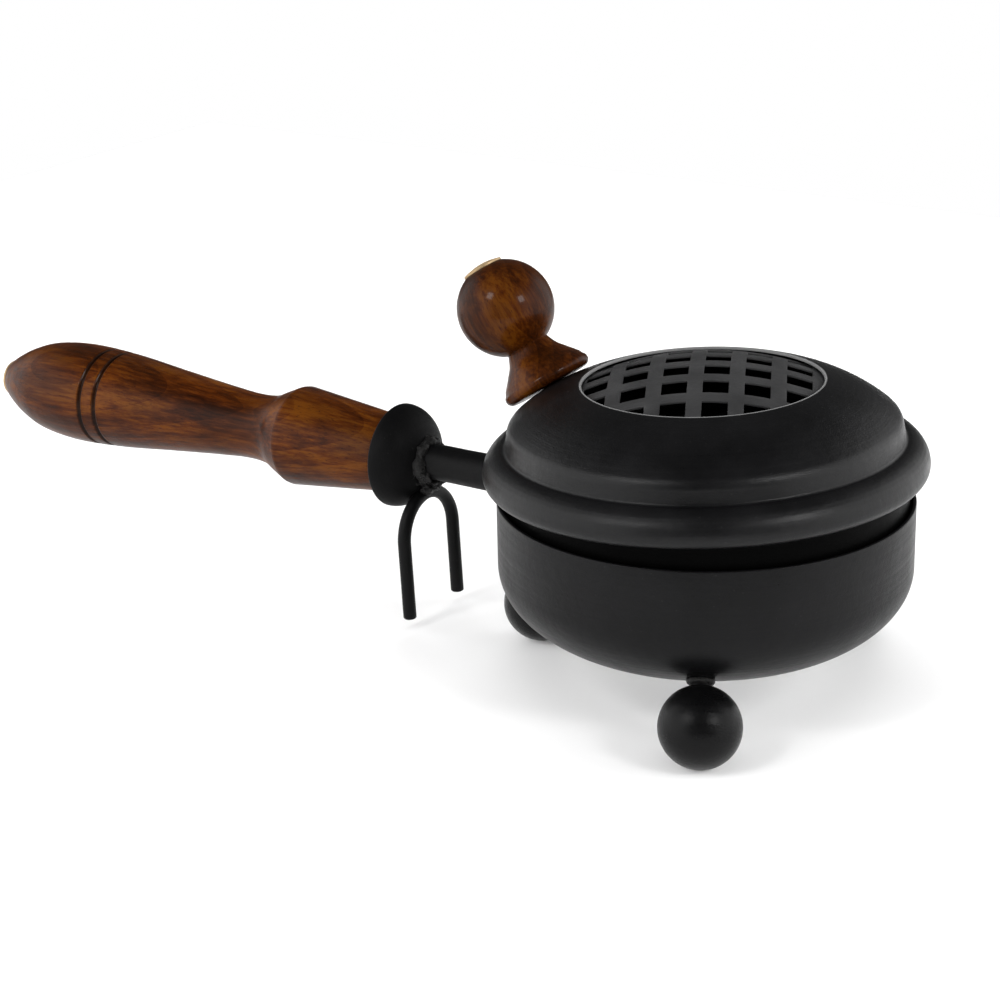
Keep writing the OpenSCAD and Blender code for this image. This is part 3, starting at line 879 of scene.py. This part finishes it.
make_bowl()
for number, foot in enumerate(FEET):
    make_foot(foot, 1.3 + 2.1 * number)
make_rod()
make_ferrule()
make_fork()
make_grip()
make_cap("Grip_End_Cap", HANDLE_AT @ moved(0, 0, GRIP_END), PAN, "grip_end_cap")
make_lid()
make_grille()
make_knob()
make_cap("Knob_End_Cap", KNOB_AT @ moved(0, 0, CAP_SEAT), LID, "knob_end_cap")
for hardware in ("hinge_bracket", "hinge_leaf"):
    dress(hardware, PAINT_HINGE, 0.25)
for hardware in ("hinge_pin", "grip_washer", "grip_nut", "knob_bolt", "knob_washer", "knob_nut"):
    dress(hardware, ZINC, 0.12)


# --- The studio ---------------------------------------------------------------------------------

def make_floor():
    mesh = bpy.data.meshes.new("Floor")
    half, back = 0.6, 0.1
    mesh.from_pydata([(-half - back, -half, 0), (half - back, -half, 0), (half - back, half, 0),
                      (-half - back, half, 0)], [], [(0, 1, 2, 3)])
    floor = bpy.data.objects.new("Floor", mesh)
    bpy.context.collection.objects.link(floor)
    mesh.materials.append(floor_paint())


def make_light(name, place, target, size, power, mirrored=True):
    """A soft rectangular light at place, turned to target, and seen in shiny surfaces if mirrored."""
    data = bpy.data.lights.new(name, "AREA")
    data.shape = "RECTANGLE"
    data.size, data.size_y = size
    data.energy = power
    light = bpy.data.objects.new(name, data)
    bpy.context.collection.objects.link(light)
    light.location = place
    light.rotation_euler = (Vector(target) - Vector(place)).to_track_quat("-Z", "Y").to_euler()
    light.visible_glossy = mirrored


# The direction across the view, and the strengths of the dim room and the lit walls
SIDEWAYS = (0.836, 0.549, 0.0)
ROOM_DIM = 0.09
WALL_LIGHT = 1.9


def make_studio():
    """A white backdrop, lit walls to the left and right, and a dim room in front and above."""
    world = bpy.data.worlds.new("Studio")
    world.use_nodes = True
    s = Nodes(world.node_tree)
    aim = s.node("ShaderNodeTexCoord").outputs["Generated"]
    across = s.node("ShaderNodeVectorMath", operation="DOT_PRODUCT")
    s.feed(across.inputs[0], aim)
    s.feed(across.inputs[1], SIDEWAYS)
    sideways = s.maths("ABSOLUTE", across.outputs["Value"])
    split = s.node("ShaderNodeSeparateXYZ")
    s.feed(split.inputs[0], aim)
    walls = s.maths("MULTIPLY", s.span(sideways, 0.35, 0.9, 0.0, 1.0, "SMOOTHSTEP"),
                    s.span(split.outputs["Z"], 0.35, 0.92, 1.0, 0.12, "SMOOTHSTEP"))
    seen = s.node("ShaderNodeMix", data_type="FLOAT")
    s.feed(seen.inputs["Factor"], s.node("ShaderNodeLightPath").outputs["Is Camera Ray"])
    s.feed(seen.inputs["A"], s.span(walls, 0.0, 1.0, ROOM_DIM, WALL_LIGHT, "SMOOTHSTEP"))
    s.feed(seen.inputs["B"], 1.0)
    background = s.tree.nodes["Background"]
    s.feed(background.inputs["Color"], (1, 1, 1, 1))
    s.feed(background.inputs["Strength"], seen.outputs["Result"])
    bpy.context.scene.world = world
    bpy.context.scene.view_settings.view_transform = "Standard"
    target = (-0.06, 0, 0.06)
    make_light("Overhead", (0, 0, 3.0), (0, 0, 0), (3.6, 3.6), 44, mirrored=False)
    for name, x, y, power in (("Low_Front", 0.9, -1.35, 15), ("Low_Back", -0.9, 1.35, 24),
                              ("Low_Left", -1.45, -0.85, 20), ("Low_Right", 1.35, 0.9, 24)):
        make_light(name, (x, y, 0.42), (0, 0, 0.03), (1.6, 0.8), power, mirrored=False)
    make_light("Key_Left", (-0.36, -1.14, 1.07), target, (0.34, 0.34), 6)
    make_light("Key_Right", (1.19, -0.29, 0.91), target, (0.34, 0.34), 6)


def make_camera():
    data = bpy.data.cameras.new("Camera")
    data.sensor_width = 36
    data.lens = 88.36
    data.clip_end = 50
    camera = bpy.data.objects.new("Camera", data)
    bpy.context.collection.objects.link(camera)
    right = Vector((0.83581, 0.54854, -0.02292))
    up = Vector((-0.17317, 0.30302, 0.93712))
    back = Vector((0.52099, -0.77929, 0.34826))
    turn = Matrix((right, up, back)).transposed().to_4x4()
    camera.matrix_world = Matrix.Translation(Vector((0.34056, -0.62288, 0.32455))) @ turn
    bpy.context.scene.camera = camera


make_floor()
make_studio()
make_camera()
